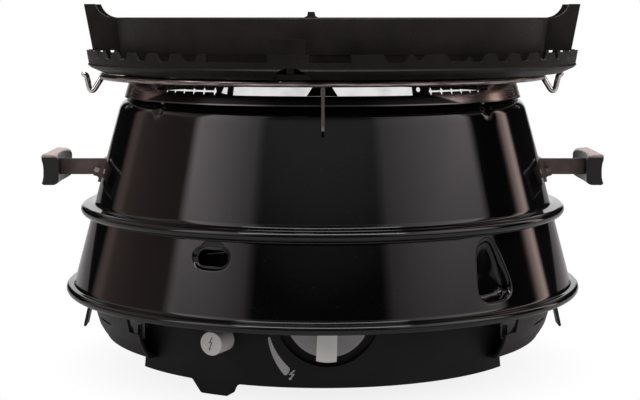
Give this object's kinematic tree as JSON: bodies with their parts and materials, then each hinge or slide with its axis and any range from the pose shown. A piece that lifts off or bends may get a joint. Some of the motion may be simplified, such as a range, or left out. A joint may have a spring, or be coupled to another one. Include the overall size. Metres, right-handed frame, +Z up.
{
  "type": "portable gas grill",
  "caption": "Round portable gas grill: enamelled conical shell with burner, knob and igniter, side handles, windshield, wire ring, scalloped plate and griddle tray.",
  "frame": {"origin": "on the ground under the shell's axis", "axes": "+Z up, -Y towards the knob and the front, +X to the right seen from the front"},
  "size_m": [0.4396, 0.4092, 0.286],
  "materials": {
    "black_plastic": "moulded, satin",
    "rubber": "matt",
    "zinc": "zinc plated",
    "enamel": "black enamel",
    "panel_plastic": "matt black",
    "grey_plastic": "grey, satin",
    "brass": "turned",
    "copper": "copper tone",
    "ivory_plastic": "ivory, satin",
    "lead_sleeve": "silicone sleeve, red",
    "ceramic": "glazed",
    "stainless": "satin stainless",
    "cast_aluminium": "cast",
    "cast_iron": "heat-dulled",
    "gloss_enamel": "gloss black enamel",
    "strap_metal": "brown-grey bead-blasted",
    "grip_plastic": "dark, satin",
    "dark_stainless": "heat-browned stainless",
    "bright_stainless": "bright stainless",
    "chrome": "plated wire",
    "coated_casting": "satin black coating"
  },
  "bodies": {
    "body": {"base_bowl": "black_plastic", "feet": "black_plastic", "foot_tips": "rubber", "foot_screws": "zinc", "base_pan": "enamel", "bowl_screws": "zinc", "side_stays": "zinc", "control_panel": "panel_plastic", "panel_screws": "enamel", "valve_body": "brass", "gas_jet": "brass", "gas_pipe": "copper", "gas_inlet": "brass", "igniter_body": "black_plastic", "igniter_spring": "zinc", "igniter_nut": "black_plastic", "ignition_lead": "lead_sleeve", "electrode": "ceramic", "mixing_tube": "stainless", "burner_stand": "stainless", "burner_bowl": "cast_aluminium", "burner_cap": "cast_iron", "shell": "gloss_enamel", "latch_pins": "zinc", "handle_strap_left": "strap_metal", "handle_strap_right": "strap_metal", "handle_grip_left": "grip_plastic", "handle_grip_right": "grip_plastic", "handle_bolts": "zinc", "handle_nuts": "zinc", "windshield": "dark_stainless", "windshield_rivets": "stainless"},
    "knob": {"knob": "grey_plastic", "valve_spindle": "brass"},
    "igniter_button": {"igniter_button": "ivory_plastic"},
    "latch_left": {"latch_left": "enamel"},
    "latch_right": {"latch_right": "enamel"},
    "drip_pan": {"drip_pan": "bright_stainless"},
    "pan_support": {"pan_support": "chrome"},
    "grill_plate": {"grill_plate": "coated_casting"},
    "griddle_tray": {"griddle_tray": "coated_casting"}
  },
  "joints": [
    {"name": "knob_turn", "type": "hinge", "parent": "body", "child": "knob", "pos_m": [0.0035, -0.158, 0.068], "axis": [0, -1, 0], "range_deg": [0, 160]},
    {"name": "igniter_push", "type": "slide", "parent": "body", "child": "igniter_button", "axis": [0.4305, 0.9026, 0], "range_m": [0, 0.006], "stiffness_N_per_m": 400, "springref_m": -0.003},
    {"name": "latch_left_swing", "type": "hinge", "parent": "body", "child": "latch_left", "pos_m": [-0.186, 0, 0.054], "axis": [0, 1, 0], "range_deg": [0, 30]},
    {"name": "latch_right_swing", "type": "hinge", "parent": "body", "child": "latch_right", "pos_m": [0.186, 0, 0.054], "axis": [0, -1, 0], "range_deg": [0, 30]},
    {"name": "drip_pan_lift", "type": "slide", "parent": "body", "child": "drip_pan", "axis": [0, 0, 1], "range_m": [0, 0.06]},
    {"name": "pan_support_lift", "type": "slide", "parent": "drip_pan", "child": "pan_support", "axis": [0, 0, 1], "range_m": [0, 0.06]},
    {"name": "grill_plate_lift", "type": "slide", "parent": "pan_support", "child": "grill_plate", "axis": [0, 0, 1], "range_m": [0, 0.04]},
    {"name": "griddle_tray_lift", "type": "slide", "parent": "grill_plate", "child": "griddle_tray", "axis": [0, 0, 1], "range_m": [0, 0.04]}
  ]
}
